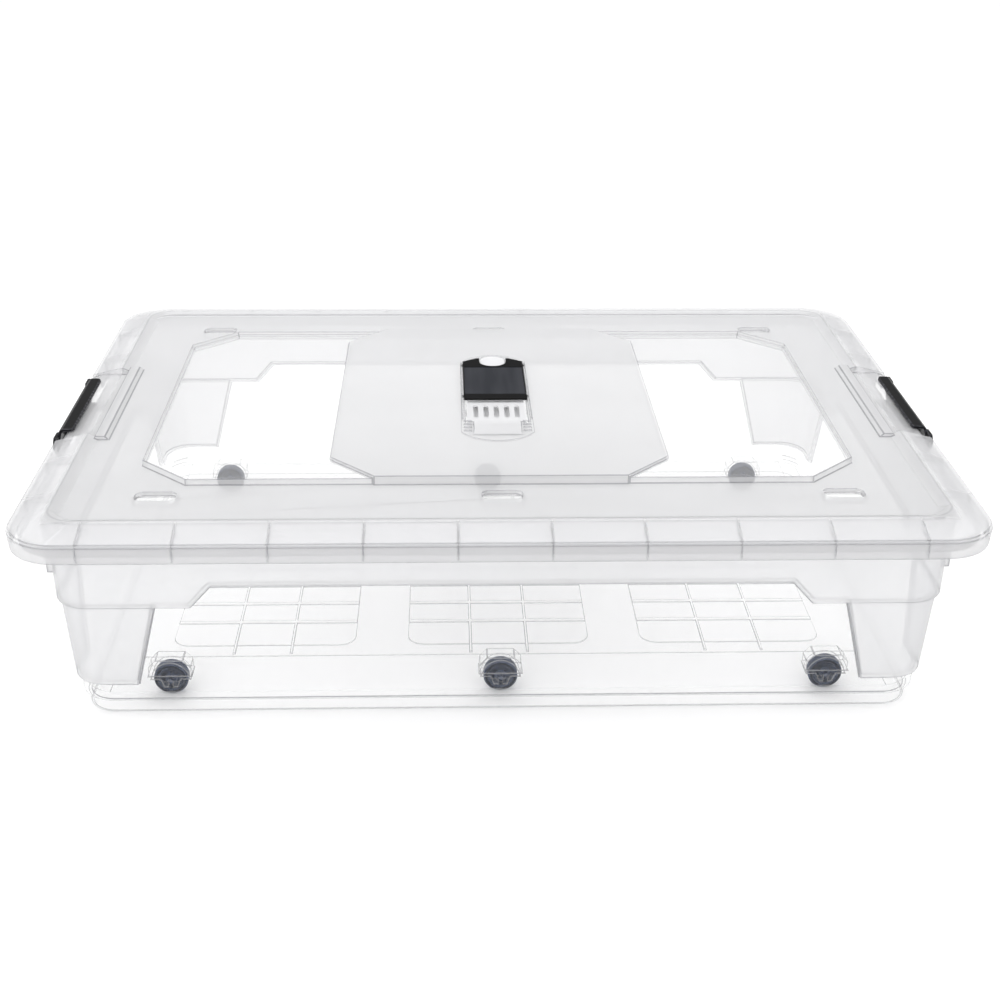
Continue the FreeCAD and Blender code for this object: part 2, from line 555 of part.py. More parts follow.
def make_lid():
    outer = lid_form("lid_outside", "0")
    inner = lid_form("lid_inside", "wallThickness")
    pieces = [cut("lid_shell", outer, [inner]), long_side_webs(), short_side_webs(), locating_ring()]
    cutters = [clip_clearance(1, "right"), clip_clearance(-1, "left")]
    pocket_floor = "panelHeight - stackDepth"
    for name, x, y in wheel_places():
        pieces.append(stack_pocket("stack_cup_" + name, x, y, "wallThickness",
                                   "%s - wallThickness" % pocket_floor, "panelHeight - 1"))
        cutters.append(stack_pocket("stack_pocket_" + name, x, y, "0", pocket_floor,
                                    "panelHeight + 1"))
    for side, label in ((1, "right"), (-1, "left")):
        pieces.append(disc("gate_mark_" + label, "gateMarkRadius", signed("gateMarkX", side), "0",
                           ("fieldHeight - 1", "fieldHeight + gateMarkRise")))
    cutters.append(box("vent_opening", ("-1 * openingHalfX", "openingHalfX"),
                       ("-1 * openingHalfY", "openingHalfY"), ("skirtHeight", "centreHeight + 5")))
    lid = cut("lid", fuse("lid_filled", pieces), cutters)
    lid.Label = "lid"
    return lid


# ---------------------------------------------------------------- clips

def make_clip(label):
    """A side clip, made on the right; the left one is turned half round about Z."""
    plate = new_body("clip_plate_" + label)
    half = [("clipBottomHalf", "clipBottom"), ("clipBottomHalf + 4", "clipBottom + 2"),
            ("wingHalf - 3", "wingBottom - 4"), ("wingHalf", "wingBottom"), ("wingHalf", "wingTop - 4"),
            ("wingHalf - 4", "wingTop"), ("wingInnerHalf + 2", "wingTop"), ("wingInnerHalf", "clipWaist")]
    corners = half + [(minus(along), upward) for along, upward in reversed(half)]
    sketch = polygon(plate, "clip_plate_outline_" + label, "YZ_Plane", corners, "clipPlateX")
    extrude(plate, "Pad", "clip_plate_block_" + label, sketch, "clipThickness")
    section = new_body("clip_section_" + label)
    outer = "clipPlateX + clipThickness"
    corners = [("clipPlateX", "clipWaist - 5"), (outer, "clipWaist - 5"), (outer, "clipWaist"),
               ("clipCrownX + 4.4", "clipTop - 4.2"), ("clipCrownX + 2.8", "clipTop - 1.7"),
               ("clipCrownX", "clipTop"), ("tongueTipX + 1", "clipTop"), ("tongueTipX", "clipTop - 1"),
               ("tongueTipX", "clipTop - clipThickness"), ("clipCrownX", "clipTop - clipThickness"),
               ("clipCrownX + 1.5", "clipTop - 5"), ("clipPlateX", "clipWaist")]
    sketch = polygon(section, "clip_section_outline_" + label, "XZ_Plane", corners)
    extrude(section, "Pad", "clip_section_bar_" + label, sketch, "2 * tongueHalf", symmetric=True)
    plan = new_body("clip_plan_" + label)
    half = [("tongueTipX", "tongueHalf - tongueRound"),
            ("tongueTipX + 0.3 * tongueRound", "tongueHalf - 0.3 * tongueRound"),
            ("tongueTipX + tongueRound", "tongueHalf"), (outer, "tongueHalf")]
    corners = half + [(across, minus(along)) for across, along in reversed(half)]
    sketch = polygon(plan, "clip_plan_outline_" + label, "XY_Plane", corners, "clipBottom")
    extrude(plan, "Pad", "clip_plan_block_" + label, sketch, "clipTop - clipBottom + 1")
    bar = doc.addObject("Part::MultiCommon", "clip_bar_" + label)
    bar.Shapes = [section, plan]
    knuckle = ("-1 * knuckleHalf", "knuckleHalf")
    stub_end = "earStart + earThickness - 0.2"
    pieces = [
        plate,
        bar,
        box("clip_arm_" + label, ("hingeX", "clipPlateX + 1"), knuckle,
            ("hingeHeight - clipThickness / 2", "hingeHeight + clipThickness / 2")),
        rod("clip_knuckle_" + label, "knuckleRadius", "hingeX", knuckle, "hingeHeight"),
        rod("clip_stubs_" + label, "stubRadius", "hingeX", ("-1 * ( %s )" % stub_end, stub_end),
            "hingeHeight"),
    ]
    clip = fuse("clip_" + label, pieces)
    clip.Label = "clip_" + label
    if label == "left":
        clip.Placement = Placement(Vector(), Rotation(Vector(0, 0, 1), 180))
    return clip


# ---------------------------------------------------------------- wheels

def make_wheel(name, x, y):
    """A solid wheel with dished faces and two axle stubs, turned about its own axle."""
    body = new_body("wheel_" + name)
    half = "wheelWidth / 2"
    upper = [("0", "axleHalfLength"), ("axleRadius", "axleHalfLength"), ("axleRadius", half),
             ("wheelHubRadius", half), ("wheelHubRadius + 1", "%s - wheelDish" % half),
             ("wheelDishRadius - 1", "%s - wheelDish" % half), ("wheelDishRadius", half),
             ("wheelRadius - wheelEdge", half), ("wheelRadius", "%s - wheelEdge" % half)]
    corners = upper + [(across, minus(along)) for across, along in reversed(upper)]
    sketch = polygon(body, "wheel_outline_" + name, "XY_Plane", corners)
    turned = body.newObject("PartDesign::Revolution", "wheel_turned_" + name)
    turned.Profile = sketch
    turned.ReferenceAxis = (sketch, ["V_Axis"])
    turned.Angle = 360
    for axis, words in zip("xyz", (x, y, "wheelRadius")):
        bind(body, "Placement.Base." + axis, words)
    body.Label = "wheel_" + name
    return body


# ---------------------------------------------------------------- vent insert

def vent_flange():
    """The plate of the insert: straight sides and an arc at each end."""
    body = new_body("vent_flange")
    sketch = new_sketch(body, "vent_flange_outline", "XY_Plane", "centreHeight")
    front_x, front_y = value("ventHalfX"), -value("ventFrontY")
    rear_x, rear_y = value("ventRearHalfX"), value("ventRearY")
    front_tip = Vector(0, front_y - value("ventFrontBulge"), 0)
    rear_tip = Vector(0, rear_y + value("ventRearBulge"), 0)
    spots = [Vector(-front_x, front_y, 0), Vector(front_x, front_y, 0),
             Vector(rear_x, rear_y, 0), Vector(-rear_x, rear_y, 0)]
    sketch.addGeometry(Part.Arc(spots[0], front_tip, spots[1]))
    sketch.addGeometry(Part.LineSegment(spots[1], spots[2]))
    sketch.addGeometry(Part.Arc(spots[2], rear_tip, spots[3]))
    sketch.addGeometry(Part.LineSegment(spots[3], spots[0]))
    for first, second in (((0, 2), (1, 1)), ((1, 2), (2, 1)), ((2, 2), (3, 1)), ((3, 2), (0, 1))):
        sketch.addConstraint(Sketcher.Constraint("Coincident", *first, *second))
    front, rear = ("ventHalfX", minus("ventFrontY")), ("ventRearHalfX", "ventRearY")
    places = [((1, 1), *front), ((1, 2), *rear),
              ((3, 1), minus(rear[0]), rear[1]), ((3, 2), minus(front[0]), front[1])]
    for spot, x, y in places:
        hold(sketch, "DistanceX", (-1, 1) + spot, x)
        hold(sketch, "DistanceY", (-1, 1) + spot, y)
    for arc, half, bulge in ((0, "ventHalfX", "ventFrontBulge"), (2, "ventRearHalfX", "ventRearBulge")):
        hold(sketch, "Radius", (arc,), "( %s ^ 2 + %s ^ 2 ) / ( 2 * %s )" % (half, bulge, bulge))
    extrude(body, "Pad", "vent_flange_plate", sketch, "ventPlate")
    return body


def vent_slots():
    """Five round-ended slots through the grille and the pan."""
    body = new_body("vent_slots")
    middle_y = "-1 * ( slotFrontY + slotRearY ) / 2"
    sketch = rounded_rectangle(body, "vent_slot_outline", "slotHalfWidth",
                               "( slotFrontY - slotRearY ) / 2", "slotHalfWidth - 0.05",
                               "panBottom - 1", centre=("-2 * slotPitch", middle_y))
    slot = extrude(body, "Pad", "vent_slot", sketch, "centreHeight + ventPlate + 2 - panBottom")
    repeat(body, "vent_slot_row", slot, sketch, "H_Axis", 5, "4 * slotPitch")
    return body


def push_pad():
    """The smooth sloping thumb pad between the grip ribs."""
    body = new_body("push_pad")
    top = "centreHeight + ventPlate"
    corners = [("-1 * gripFirstY - 1", "%s - 0.5" % top), ("-1 * gripFirstY - 1", "%s + gripRise" % top),
               ("-1 * pushPadFront + 8", "%s + gripRise" % top), ("-1 * pushPadFront", "%s - 0.5" % top)]
    sketch = polygon(body, "push_pad_outline", "YZ_Plane", corners)
    extrude(body, "Pad", "push_pad_block", sketch, "2 * pushPadHalf", symmetric=True)
    return body


def finger_oval(name, grow, bottom, height):
    """The oval place for a fingertip behind the cover, grown by a gap for the notch around it."""
    body = new_body(name)
    outline = rounded_rectangle(body, name + "_outline", "dishHalfX + %s" % grow, "dishHalfY + %s" % grow,
                                "dishHalfX + %s - 0.1" % grow, bottom, centre=("0", "dishY"))
    extrude(body, "Pad", name + "_block", outline, height)
    return body


def make_vent_housing():
    top = "centreHeight + ventPlate"
    pan = box("vent_pan", ("-1 * panHalfX", "panHalfX"), ("-1 * panHalfY", "panHalfY"),
              ("panBottom", "centreHeight + 0.5"))
    pieces = [vent_flange(), pan, push_pad()]
    cutters = [vent_slots(), finger_oval("finger_dish", "0", "%s - dishDepth" % top, "dishDepth + 1")]
    inside_x = ("-1 * panHalfX + panWall", "panHalfX - panWall")
    cutters.append(box("pan_under_cover", inside_x, ("-1 * grilleRearY", "panHalfY - panWall"),
                       ("panBottom + panWall", "%s + 5" % top)))
    cutters.append(box("pan_under_grille", inside_x, ("-1 * panHalfY + panWall", "panHalfY - panWall"),
                       ("panBottom + panWall", "centreHeight")))
    for side, label in ((1, "right"), (-1, "left")):
        pieces.append(box("vent_rail_" + label, mirrored(("railInnerX", "ventHalfX - 1"), side),
                          ("-1 * railFrontY", "railRearY"), ("%s - 0.5" % top, "%s + railRise" % top)))
        cutters.append(box("vent_groove_" + label, mirrored(("railInnerX - 0.5", "grooveX"), side),
                           ("-1 * railFrontY - 1", "railRearY + 1"),
                           ("%s + grooveBottom" % top, "%s + grooveTop" % top)))
        for index in range(4):
            middle = "-1 * gripFirstY - %d * gripPitch" % index
            pieces.append(box("grip_rib_%s_%d" % (label, index),
                              mirrored(("gripInnerX", "gripOuterX"), side),
                              ("%s - gripWidth / 2" % middle, "%s + gripWidth / 2" % middle),
                              ("%s - 0.5" % top, "%s + gripRise" % top)))
        for row, end in ((1, "rear"), (-1, "front")):
            middle = signed("barbY", row)
            pieces.append(box("barb_%s_%s" % (label, end), mirrored(("panHalfX - 1", "barbX"), side),
                              ("%s - barbHalfLength" % middle, "%s + barbHalfLength" % middle),
                              ("centreHeight - wallThickness - 3.2", "centreHeight - wallThickness - 0.2")))
    housing = cut("vent_housing", fuse("vent_housing_filled", pieces), cutters)
    housing.Label = "vent_housing"
    return housing


def make_vent_cover():
    """The sliding cover: a thin plate with a thumb notch, a sunk field and four guide tabs."""
    body = new_body("vent_cover_plate")
    bottom = "centreHeight + ventPlate + coverGap"
    right = [("coverHalfX", "-1 * coverFrontY"), ("coverHalfX", "coverShoulderY"),
             ("coverRearHalf", "coverRearY")]
    corners = right + [(minus(across), along) for across, along in reversed(right)]
    outline = polygon(body, "cover_outline", "XY_Plane", corners, bottom)
    extrude(body, "Pad", "cover_plate", outline, "coverThickness")
    corners = [("-1 * coverPanelHalf", "-1 * coverPanelFront"), ("coverPanelHalf", "-1 * coverPanelFront"),
               ("coverPanelHalf", "coverPanelRear"), ("-1 * coverPanelHalf", "coverPanelRear")]
    sunk = polygon(body, "cover_field_outline", "XY_Plane", corners,
                   "%s + coverThickness - coverPanelDepth" % bottom)
    extrude(body, "Pocket", "cover_field", sunk, "2 * coverPanelDepth", reverse=True)
    pieces = [body]
    for side, label in ((1, "right"), (-1, "left")):
        for place, end in ((minus("tabFrontY"), "front"), ("tabRearY", "rear")):
            pieces.append(box("cover_tab_%s_%s" % (label, end), mirrored(("coverHalfX - 1", "tabX"), side),
                              ("%s - tabHalfLength" % place, "%s + tabHalfLength" % place),
                              ("%s + coverThickness / 4" % bottom, "%s + 3 * coverThickness / 4" % bottom)))
    notch = finger_oval("cover_notch", "coverNotchGap", "%s - 1" % bottom, "coverThickness + 2")
    cover = cut("vent_cover", fuse("vent_cover_filled", pieces), [notch])
    cover.Label = "vent_cover"
    return cover


# ---------------------------------------------------------------- the whole box

parts = [make_tub(), make_lid(), make_clip("left"), make_clip("right")]
parts += [make_wheel(name, x, y) for name, x, y in wheel_places()]
parts += [make_vent_housing(), make_vent_cover()]
doc.recompute()

for item in doc.Objects:
    trouble = [state for state in item.State if state in ("Invalid", "Error")]
    if trouble:
        raise RuntimeError("%s is %s" % (item.Name, trouble))

os.makedirs("parts", exist_ok=True)
for item in parts:
    shape = item.Shape
    if shape.isNull() or not shape.isValid() or not shape.Solids:
        raise RuntimeError("%s has no valid shape" % item.Label)
    shape.exportStep("parts/%s.step" % item.Label)
    size = shape.BoundBox
    print("%-20s %d solid, %.1f cm3, x %.1f..%.1f y %.1f..%.1f z %.1f..%.1f" % (
        item.Label, len(shape.Solids), shape.Volume / 1000, size.XMin, size.XMax,
        size.YMin, size.YMax, size.ZMin, size.ZMax))
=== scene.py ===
"""The looks of the wheeled under bed box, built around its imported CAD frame.

Lengths are in metres. The CAD shapes are right as they are, so every piece is its CAD
node with rounded edges. The materials tell the frosted zones of the clear plastic from
the polished ones by their place on the box, and draw its finest lines.
"""
import json
import math

import bmesh
import bpy
from mathutils import Matrix, Vector

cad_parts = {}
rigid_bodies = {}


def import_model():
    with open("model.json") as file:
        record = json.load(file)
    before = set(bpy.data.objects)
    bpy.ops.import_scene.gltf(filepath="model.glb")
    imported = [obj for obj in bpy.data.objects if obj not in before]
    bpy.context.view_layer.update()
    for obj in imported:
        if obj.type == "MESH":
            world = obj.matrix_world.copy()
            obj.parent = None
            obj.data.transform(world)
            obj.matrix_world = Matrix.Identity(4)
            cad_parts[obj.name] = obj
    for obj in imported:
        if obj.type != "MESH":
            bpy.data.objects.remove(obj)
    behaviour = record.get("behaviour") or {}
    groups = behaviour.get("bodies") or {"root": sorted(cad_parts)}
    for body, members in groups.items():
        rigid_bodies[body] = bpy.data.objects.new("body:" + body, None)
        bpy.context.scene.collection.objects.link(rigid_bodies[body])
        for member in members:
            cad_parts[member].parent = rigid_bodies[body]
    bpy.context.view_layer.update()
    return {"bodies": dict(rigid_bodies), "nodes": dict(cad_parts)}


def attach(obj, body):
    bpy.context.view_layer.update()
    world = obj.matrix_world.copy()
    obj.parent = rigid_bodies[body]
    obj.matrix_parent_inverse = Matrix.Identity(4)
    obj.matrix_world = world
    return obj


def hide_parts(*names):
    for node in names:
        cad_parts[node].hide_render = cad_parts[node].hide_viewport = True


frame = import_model()
scene = bpy.context.scene

MM = 0.001

# ---------------------------------------------------------------- shader helpers


class Nodes:
    """Builds the node tree of one material."""

    def __init__(self, name):
        self.material = bpy.data.materials.new(name)
        self.material.use_nodes = True
        self.tree = self.material.node_tree
        self.shader = self.tree.nodes["Principled BSDF"]
        self.place = self.add("ShaderNodeTexCoord").outputs["Object"]
        axes = self.add("ShaderNodeSeparateXYZ")
        self.join(self.place, axes.inputs[0])
        self.x, self.y, self.z = axes.outputs
        self.across = self.math("ABSOLUTE", self.x)
        self.along = self.math("ABSOLUTE", self.y)

    def add(self, kind, **settings):
        node = self.tree.nodes.new(kind)
        for key, setting in settings.items():
            setattr(node, key, setting)
        return node

    def join(self, source, target):
        if isinstance(source, (int, float)):
            target.default_value = source
        else:
            self.tree.links.new(source, target)

    def math(self, operation, *values, clamp=False):
        node = self.add("ShaderNodeMath", operation=operation, use_clamp=clamp)
        for index, item in enumerate(values):
            self.join(item, node.inputs[index])
        return node.outputs[0]

    def product(self, first, *others):
        for other in others:
            first = self.math("MULTIPLY", first, other)
        return first

    def largest(self, first, *others):
        for other in others:
            first = self.math("MAXIMUM", first, other)
        return first

    def below(self, value, limit):
        """1 where a value is under a limit."""
        return self.math("LESS_THAN", value, limit)

    def above(self, value, limit):
        """1 where a value is over a limit."""
        return self.math("GREATER_THAN", value, limit)

    def apart(self, value, place):
        """How far a value is from a place, on either side."""
        return self.math("ABSOLUTE", self.math("SUBTRACT", value, place))

    def ramp(self, source, low, high, start=0.0, end=1.0):
        """A clamped straight ramp of a value between two limits."""
        node = self.add("ShaderNodeMapRange")
        self.join(source, node.inputs["Value"])
        for name, item in (("From Min", low), ("From Max", high), ("To Min", start), ("To Max", end)):
            node.inputs[name].default_value = item
        return node.outputs["Result"]

    def line(self, distance, half_width, fade_end, strength):
        """A drawn line of this strength where the distance is about nothing."""
        return self.ramp(self.math("ABSOLUTE", distance), half_width, fade_end, strength, 0.0)

    def mix(self, factor, first, second):
        """A blend of two numbers."""
        node = self.add("ShaderNodeMix", data_type="FLOAT")
        self.join(factor, node.inputs[0])
        self.join(first, node.inputs[2])
        self.join(second, node.inputs[3])
        return node.outputs[0]

    def colour(self, factor, first, second):
        """A blend of two colours, each an (r, g, b) or a socket."""
        node = self.add("ShaderNodeMix", data_type="RGBA")
        self.join(factor, node.inputs[0])
        for item, socket in ((first, node.inputs[6]), (second, node.inputs[7])):
            if isinstance(item, tuple):
                socket.default_value = (*item, 1.0)
            else:
                self.tree.links.new(item, socket)
        return node.outputs[2]

    def noise(self, scale, detail=2.0, stretch=(1.0, 1.0, 1.0)):
        mapping = self.add("ShaderNodeMapping")
        mapping.inputs["Scale"].default_value = stretch
        self.join(self.place, mapping.inputs["Vector"])
        node = self.add("ShaderNodeTexNoise")
        node.inputs["Scale"].default_value = scale
        node.inputs["Detail"].default_value = detail
        self.join(mapping.outputs[0], node.inputs["Vector"])
        return node.outputs["Fac"]

    def bump(self, height, strength, distance):
        node = self.add("ShaderNodeBump")
        node.inputs["Strength"].default_value = strength
        node.inputs["Distance"].default_value = distance
        self.join(height, node.inputs["Height"])
        self.join(node.outputs[0], self.shader.inputs["Normal"])

    def glancing(self):
        """0 on surfaces seen squarely, rising to 1 on those seen edge on."""
        node = self.add("ShaderNodeLayerWeight")
        node.inputs["Blend"].default_value = 0.5
        return self.math("POWER", node.outputs["Facing"], 5.0)

    def inside_outline(self, corners, softness=0.5 * MM):
        """1 inside a symmetrical convex outline, given by the corners of its first quarter."""
        distance = None
        points = [(corners[0][0], 0.0)] + list(corners) + [(0.0, corners[-1][1])]
        for (x0, y0), (x1, y1) in zip(points, points[1:]):
            length = math.hypot(x1 - x0, y1 - y0)
            nx, ny = (y1 - y0) / length, (x0 - x1) / length
            side = self.math("MULTIPLY_ADD", self.across, nx, self.product(self.along, ny))
            side = self.math("SUBTRACT", side, nx * x0 + ny * y0)
            distance = side if distance is None else self.largest(distance, side)
        return self.ramp(distance, -softness, softness, 1.0, 0.0)

    def beyond_rounded(self, half_x, half_y, corner):
        """How far outside a rounded rectangle; less than nothing inside it."""
        past_x = self.math("SUBTRACT", self.across, self.math("SUBTRACT", half_x, corner))
        past_y = self.math("SUBTRACT", self.along, self.math("SUBTRACT", half_y, corner))
        squares = [self.math("POWER", self.largest(past, 0.0), 2.0) for past in (past_x, past_y)]
        reach = self.math("SQRT", self.math("ADD", *squares))
        inner = self.math("MINIMUM", self.largest(past_x, past_y), 0.0)
        return self.math("SUBTRACT", self.math("ADD", reach, inner), corner)


def plain(nodes, **values):
    """Set plain numbers on the Principled shader's own sockets."""
    for key, item in values.items():
        nodes.shader.inputs[key.replace("_", " ")].default_value = item


# ---------------------------------------------------------------- clear plastic

POLISHED = (0.95, 0.95, 0.955)
EDGE_GREY = (0.20, 0.205, 0.22)
SHADOW_SHARE = 0.05     # thin plastic passes on most of the light that it scatters


def clear_plastic(name, look, edge=False):
    """Thin moulded polypropylene.

    look(nodes) gives where it is frosted (1) or polished (0), how opaque and how pale it is
    there, how dark its rounded edges are drawn by the light caught in them, and the finer
    steps that are drawn the same way, or None.
    """
    n = Nodes(name)
    frosted, opacity, tone, edge_opacity, lines = look(n)
    cloud = n.ramp(n.noise(7.0, 1.0, (1.0, 1.6, 1.0)), 0.35, 0.65, 1.0, 0.975)
    pale = n.product(tone, cloud)
    bluish = n.math("MULTIPLY", pale, 1.015, clamp=True)
    mixed = n.add("ShaderNodeCombineColor")
    for value, socket in zip((pale, pale, bluish), mixed.inputs):
        n.join(value, socket)
    body = n.colour(frosted, POLISHED, mixed.outputs[0])
    glancing = n.glancing()
    shade = n.product(glancing, n.mix(frosted, 0.8, 0.3))
    alpha = n.largest(opacity, n.product(glancing, n.mix(frosted, 0.7, 0.9)))
    if edge:
        shade = n.mix(frosted, 0.85, 0.7)
        alpha = n.largest(alpha, edge_opacity)
    if lines:
        shade = n.largest(shade, n.product(lines, 0.75))
        alpha = n.largest(alpha, n.product(lines, 0.55))
    n.join(n.colour(shade, body, EDGE_GREY), n.shader.inputs["Base Color"])
    n.join(n.mix(frosted, 0.10, 0.42), n.shader.inputs["Roughness"])
    shadow = n.add("ShaderNodeLightPath").outputs["Is Shadow Ray"]
    passed = n.mix(shadow, 1.0, SHADOW_SHARE)
    n.join(n.math("MULTIPLY", alpha, passed, clamp=True), n.shader.inputs["Alpha"])
    n.bump(n.product(n.noise(700.0, 0.0), frosted), 0.025, 0.2 * MM)
    plain(n, IOR=1.45)
    return n.material


# The wheels and the stacking pockets above them stand in three columns and two rows.
COLUMN_PITCH = 288.0 * MM
ROW = 210.0 * MM
POCKET_HALF_X, POCKET_HALF_Y = 16.6 * MM, 8.2 * MM
HOUSING_HALF_X, HOUSING_HALF_Y = 20.0 * MM, 11.0 * MM


def from_column(n):
    """How far from the nearest column in x."""
    return n.apart(n.apart(n.across, COLUMN_PITCH / 2), COLUMN_PITCH / 2)


def from_row(n):
    """How far from the nearer row in y."""
    return n.apart(n.along, ROW)


# The lid's eight-sided fields, by the corners of their first quarter, and their height.
FIELD_CORNERS = [(308.0 * MM, 148.5 * MM), (266.0 * MM, 188.5 * MM)]
CENTRE_CORNERS = [(147.0 * MM, 150.0 * MM), (108.0 * MM, 190.0 * MM)]
FIELD_UNDER_Z, FIELD_TOP_Z = 188.0 * MM, 188.5 * MM
# The ridge around the lid's panel, and the line drawn along its inner foot.
RIDGE_HALF_X, RIDGE_HALF_Y, RIDGE_CORNER = 370.0 * MM, 266.0 * MM, 25.0 * MM
RIDGE_LINE_INSET = 1.0 * MM
RIDGE_LINE_FROM_Z = 189.5 * MM
SKIRT_TOP_Z, SHOULDER_FOOT_Z = 183.5 * MM, 185.0 * MM
# The webs that stiffen the shoulder, between the ridge and the skirt.
WEB_PITCH = 75.0 * MM
SIDE_WEB_MIDDLE, SIDE_WEB_SPREAD = 170.0 * MM, 39.0 * MM
WEB_END_X, WEB_END_Y = 345.0 * MM, 225.0 * MM
WEB_FOOT_Z = 170.5 * MM


def web_lines(n):
    """The webs seen through the lid's shoulder."""
    along_side = n.math("FRACT", n.math("DIVIDE", n.across, WEB_PITCH))
    from_long_web = n.product(n.apart(along_side, 0.5), WEB_PITCH)
    from_side_web = n.apart(n.apart(n.along, SIDE_WEB_MIDDLE), SIDE_WEB_SPREAD)
    foot = 0.5 * MM
    long_side = n.product(n.above(n.along, RIDGE_HALF_Y - foot), n.below(n.across, WEB_END_X))
    short_side = n.product(n.above(n.across, RIDGE_HALF_X - foot), n.below(n.along, WEB_END_Y))
    return n.largest(n.product(n.line(from_long_web, 0.5 * MM, 1.1 * MM, 0.35), long_side),
                     n.product(n.line(from_side_web, 0.5 * MM, 1.1 * MM, 0.35), short_side))


def lid_look(n):
    """The two side fields and the stacking pockets are polished, the rest of the lid is frosted."""
    fields = n.math("SUBTRACT", n.inside_outline(FIELD_CORNERS), n.inside_outline(CENTRE_CORNERS),
                    clamp=True)
    fields = n.product(fields, n.ramp(n.z, FIELD_UNDER_Z, FIELD_TOP_Z))
    pockets = n.product(n.below(from_column(n), POCKET_HALF_X), n.below(from_row(n), POCKET_HALF_Y))
    frosted = n.math("SUBTRACT", 1.0, n.largest(fields, pockets), clamp=True)

    beyond_ridge = n.largest(n.math("SUBTRACT", n.across, RIDGE_HALF_X),
                             n.math("SUBTRACT", n.along, RIDGE_HALF_Y))
    shoulder = n.ramp(beyond_ridge, -0.5 * MM, 0.5 * MM)
    skirt = n.ramp(n.z, SKIRT_TOP_Z, SHOULDER_FOOT_Z, 1.0, 0.0)
    opacity = n.mix(skirt, n.mix(shoulder, 0.62, 0.30), 0.42)
    # Painted reflection: the frosted panel is paler towards the rear, for the white it reflects there.
    panel_painted_reflection = n.ramp(n.y, -220.0 * MM, 220.0 * MM, 0.655, 0.715)
    # Painted light and shade: the sloping shoulder is paler and the upright skirt darker, as the light
    # from above falls on them.
    tone = n.mix(skirt, n.mix(shoulder, panel_painted_reflection, 0.84), 0.55)

    ridge = n.beyond_rounded(RIDGE_HALF_X - RIDGE_LINE_INSET, RIDGE_HALF_Y - RIDGE_LINE_INSET,
                             RIDGE_CORNER)
    ridge_line = n.product(n.line(ridge, 0.4 * MM, 1.6 * MM, 0.45), n.above(n.z, RIDGE_LINE_FROM_Z))
    webs = n.product(web_lines(n), n.mix(skirt, 1.0, 2.0), n.above(n.z, WEB_FOOT_Z))
    lines = n.largest(ridge_line, webs)
    return frosted, n.mix(frosted, 0.12, opacity), tone, n.mix(frosted, 0.5, 0.32), lines


# The tub's recessed windows: the heights where their sides turn, and half their width on
# the long walls at each turn. Everything is this much narrower on the short walls.
SHORT_WALL_DIFFERENCE = 108.0 * MM
WINDOW_FOOT_Z, STEP_Z, WINDOW_TOP_Z = 35.0 * MM, 112.0 * MM, 132.0 * MM
WINDOW_HALF_LOW = (308.0 * MM, 287.0 * MM)
WINDOW_HALF_HIGH = (257.0 * MM, 239.0 * MM)
# The middle of the wall's thickness, in x, at the foot and the top of its two tiers.
WALL_HALF_LOW = (363.4 * MM, 367.9 * MM)
WALL_HALF_HIGH = (370.4 * MM, 371.9 * MM)
WALL_CORNER = 28.0 * MM
WALL_TOP_Z = 183.0 * MM
BAND_FOOT_Z, BAND_FULL_Z = 135.0 * MM, 140.0 * MM
FLOOR_HALF_X, FLOOR_HALF_Y, FLOOR_TOP_Z = 347.0 * MM, 238.5 * MM, 37.0 * MM
FOOT_TOP_Z = 6.5 * MM


def tiered(n, low, high, top_z):
    """A half width that changes evenly up the lower tier, steps, and changes up the upper one."""
    lower = n.ramp(n.z, WINDOW_FOOT_Z, STEP_Z, *low)
    upper = n.ramp(n.z, STEP_Z, top_z, *high)
    return n.mix(n.above(n.z, STEP_Z), lower, upper)


def outside_windows(n):
    """How far from the nearest window, in its wall; less than nothing within one."""
    nearest = None
    for distance, difference in ((n.across, 0.0), (n.along, SHORT_WALL_DIFFERENCE)):
        halves = [[half - difference for half in pair] for pair in (WINDOW_HALF_LOW, WINDOW_HALF_HIGH)]
        side = tiered(n, *halves, WINDOW_TOP_Z)
        beyond = n.largest(n.math("SUBTRACT", distance, side), n.math("SUBTRACT", n.z, WINDOW_TOP_Z))
        nearest = beyond if nearest is None else n.math("MINIMUM", nearest, beyond)
    return nearest


